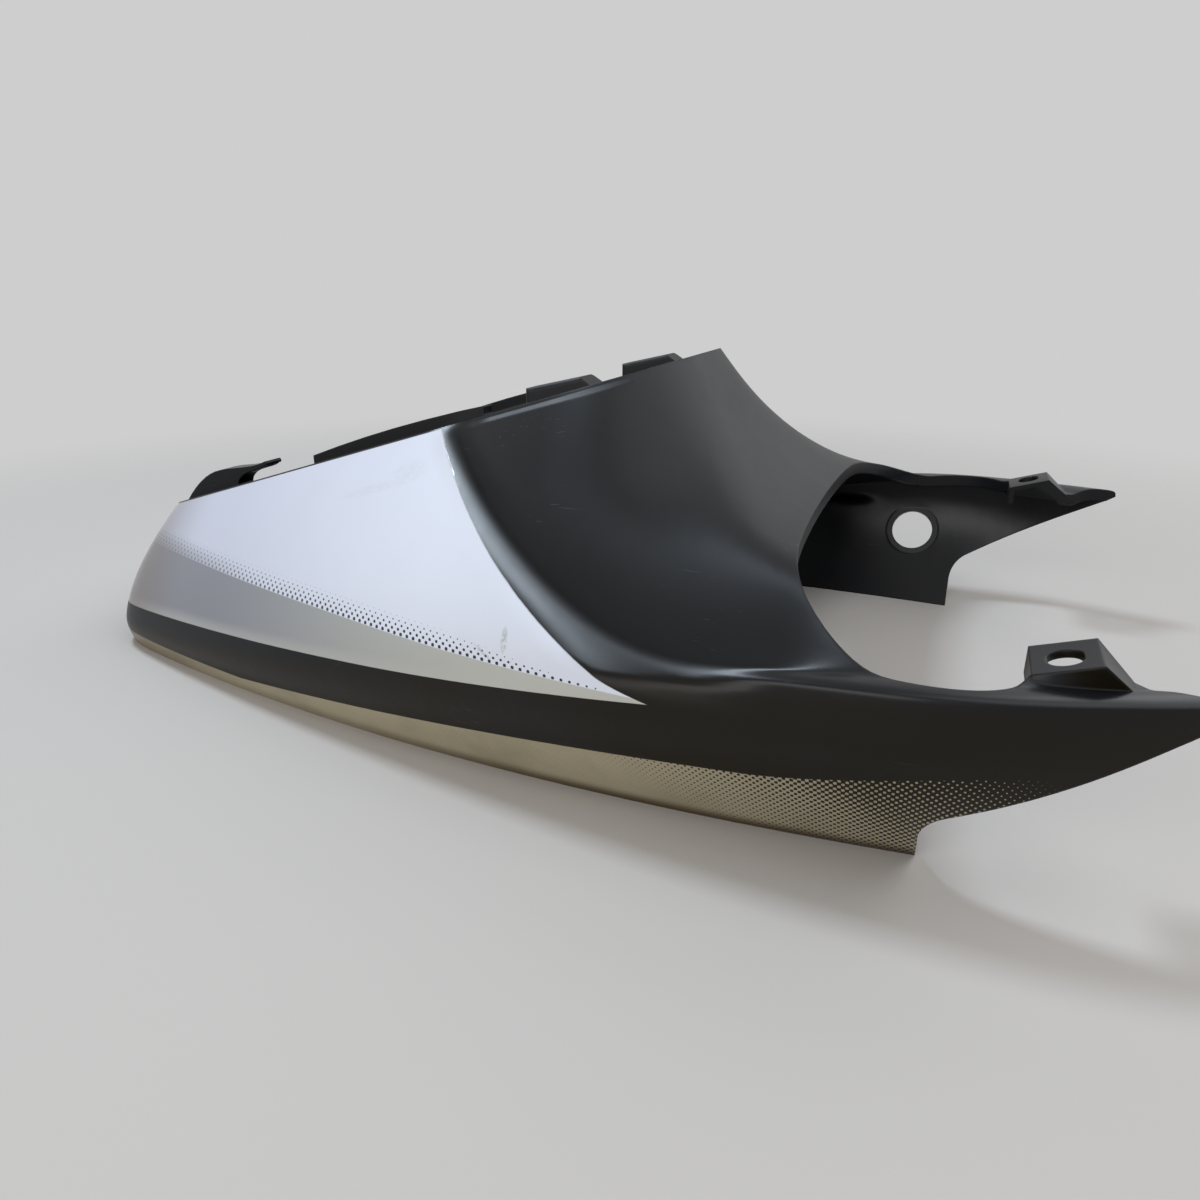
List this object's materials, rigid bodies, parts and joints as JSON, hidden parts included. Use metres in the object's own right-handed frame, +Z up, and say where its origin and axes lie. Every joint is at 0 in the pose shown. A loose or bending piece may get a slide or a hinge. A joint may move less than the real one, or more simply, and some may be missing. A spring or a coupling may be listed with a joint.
{
  "type": "motorcycle tail fairing",
  "caption": "Moulded motorcycle tail fairing: hollow tapering tail with a sloping seat opening, a scooped hump, and arms round the rider's seat, open below.",
  "frame": {"origin": "under the middle of the part, on the plane that the lower rim rests on", "axes": "+X to the front of the bike, along the part's length; +Y to the bike's left; +Z up"},
  "size_m": [0.558, 0.3664, 0.1713],
  "materials": {
    "painted_shell": "satin black moulding with a gloss white side panel and halftone fades"
  },
  "bodies": {
    "root": {"tail_fairing": "painted_shell"}
  },
  "joints": []
}
